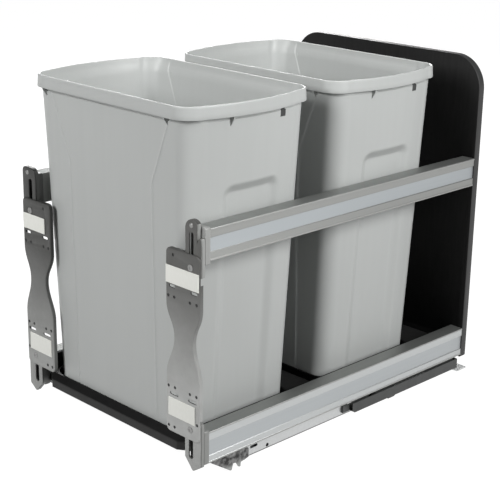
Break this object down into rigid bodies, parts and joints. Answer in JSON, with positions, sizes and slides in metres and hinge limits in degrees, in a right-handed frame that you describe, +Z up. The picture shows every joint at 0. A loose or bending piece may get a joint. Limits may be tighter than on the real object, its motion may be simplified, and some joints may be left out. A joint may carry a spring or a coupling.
{
  "type": "pull-out waste bin unit",
  "caption": "In-cabinet pull-out unit: lift-out plastic bins in a tray between aluminium rails, on full-extension soft-close slides, with door brackets and a back panel.",
  "frame": {"origin": "middle of the footprint, on the surface that the floor brackets stand on", "axes": "+Z up, -Y towards the cabinet door, so the drawer pulls out along -Y; X across the unit"},
  "size_m": [0.365, 0.57, 0.49],
  "materials": {
    "bin_plastic": "satin moulded grey",
    "tray_plastic": "fine-grained black moulding",
    "panel_board": "black melamine-faced board",
    "rail_aluminium": "satin anodised",
    "bracket_paint": "grey powder coat",
    "bright_steel": "bright plated",
    "foam_tape": "white liner on foam tape",
    "zinc_steel": "zinc plated",
    "dark_plastic": "dark grey moulding",
    "dark_steel": "dark plated steel"
  },
  "bodies": {
    "cabinet_side": {"left_cabinet_rail": "zinc_steel", "right_cabinet_rail": "zinc_steel", "left_soft_close_housing": "dark_plastic", "right_soft_close_housing": "dark_plastic", "left_damper_cylinder": "bright_steel", "right_damper_cylinder": "bright_steel", "left_catch_spring": "bright_steel", "right_catch_spring": "bright_steel", "left_front_floor_bracket": "dark_steel", "right_front_floor_bracket": "dark_steel", "left_rear_floor_bracket": "zinc_steel", "right_rear_floor_bracket": "zinc_steel", "rear_cross_brace": "zinc_steel"},
    "drawer": {"base_tray": "tray_plastic", "back_panel": "panel_board", "left_drawer_rail": "zinc_steel", "right_drawer_rail": "zinc_steel", "left_upper_side_rail": "rail_aluminium", "right_upper_side_rail": "rail_aluminium", "left_lower_side_rail": "rail_aluminium", "right_lower_side_rail": "rail_aluminium", "left_upper_rail_cap": "bracket_paint", "right_upper_rail_cap": "bracket_paint", "left_lower_rail_cap": "bracket_paint", "right_lower_rail_cap": "bracket_paint", "left_upper_slotted_bracket": "bracket_paint", "right_upper_slotted_bracket": "bracket_paint", "left_lower_slotted_bracket": "bracket_paint", "right_lower_slotted_bracket": "bracket_paint", "left_bracket_rivet": "bright_steel", "right_bracket_rivet": "bright_steel", "left_upper_panel_screw": "bright_steel", "right_upper_panel_screw": "bright_steel", "left_lower_panel_screw": "bright_steel", "right_lower_panel_screw": "bright_steel"},
    "front_bin": {"front_bin": "bin_plastic"},
    "rear_bin": {"rear_bin": "bin_plastic"},
    "left_intermediate": {"left_intermediate_rail": "zinc_steel"},
    "left_outer_cage": {"left_outer_ball_cage": "bright_steel"},
    "left_inner_cage": {"left_inner_ball_cage": "bright_steel"},
    "left_catch": {"left_soft_close_catch": "tray_plastic", "left_damper_rod": "bright_steel"},
    "left_door_bracket": {"left_door_plate": "bracket_paint", "left_upper_tape_pad": "foam_tape", "left_lower_tape_pad": "foam_tape", "left_upper_clamp_screw": "bright_steel", "left_lower_clamp_screw": "bright_steel"},
    "right_intermediate": {"right_intermediate_rail": "zinc_steel"},
    "right_outer_cage": {"right_outer_ball_cage": "bright_steel"},
    "right_inner_cage": {"right_inner_ball_cage": "bright_steel"},
    "right_catch": {"right_soft_close_catch": "tray_plastic", "right_damper_rod": "bright_steel"},
    "right_door_bracket": {"right_door_plate": "bracket_paint", "right_upper_tape_pad": "foam_tape", "right_lower_tape_pad": "foam_tape", "right_upper_clamp_screw": "bright_steel", "right_lower_clamp_screw": "bright_steel"}
  },
  "joints": [
    {"name": "pull_out", "type": "slide", "parent": "cabinet_side", "child": "drawer", "axis": [0, -1, 0], "range_m": [0, 0.5]},
    {"name": "left_intermediate_slide", "type": "slide", "parent": "cabinet_side", "child": "left_intermediate", "axis": [0, -1, 0], "range_m": [0, 0.25]},
    {"name": "left_outer_cage_slide", "type": "slide", "parent": "cabinet_side", "child": "left_outer_cage", "axis": [0, -1, 0], "range_m": [0, 0.125]},
    {"name": "left_inner_cage_slide", "type": "slide", "parent": "cabinet_side", "child": "left_inner_cage", "axis": [0, -1, 0], "range_m": [0, 0.375]},
    {"name": "left_catch_travel", "type": "slide", "parent": "cabinet_side", "child": "left_catch", "axis": [0, -1, 0], "range_m": [0, 0.04], "stiffness_N_per_m": 50, "springref_m": -0.02},
    {"name": "left_door_height", "type": "slide", "parent": "drawer", "child": "left_door_bracket", "axis": [0, 0, 1], "range_m": [-0.004, 0.004]},
    {"name": "right_intermediate_slide", "type": "slide", "parent": "cabinet_side", "child": "right_intermediate", "axis": [0, -1, 0], "range_m": [0, 0.25]},
    {"name": "right_outer_cage_slide", "type": "slide", "parent": "cabinet_side", "child": "right_outer_cage", "axis": [0, -1, 0], "range_m": [0, 0.125]},
    {"name": "right_inner_cage_slide", "type": "slide", "parent": "cabinet_side", "child": "right_inner_cage", "axis": [0, -1, 0], "range_m": [0, 0.375]},
    {"name": "right_catch_travel", "type": "slide", "parent": "cabinet_side", "child": "right_catch", "axis": [0, -1, 0], "range_m": [0, 0.04], "stiffness_N_per_m": 50, "springref_m": -0.02},
    {"name": "right_door_height", "type": "slide", "parent": "drawer", "child": "right_door_bracket", "axis": [0, 0, 1], "range_m": [-0.004, 0.004]},
    {"name": "front_bin_lift", "type": "slide", "parent": "drawer", "child": "front_bin", "axis": [0, 0, 1], "range_m": [0, 0.46]},
    {"name": "rear_bin_lift", "type": "slide", "parent": "drawer", "child": "rear_bin", "axis": [0, 0, 1], "range_m": [0, 0.46]}
  ],
  "couplings": [
    {"joint": "left_intermediate_slide", "follows": "pull_out", "ratio": 0.5},
    {"joint": "left_outer_cage_slide", "follows": "pull_out", "ratio": 0.25},
    {"joint": "left_inner_cage_slide", "follows": "pull_out", "ratio": 0.75},
    {"joint": "right_intermediate_slide", "follows": "pull_out", "ratio": 0.5},
    {"joint": "right_outer_cage_slide", "follows": "pull_out", "ratio": 0.25},
    {"joint": "right_inner_cage_slide", "follows": "pull_out", "ratio": 0.75}
  ]
}
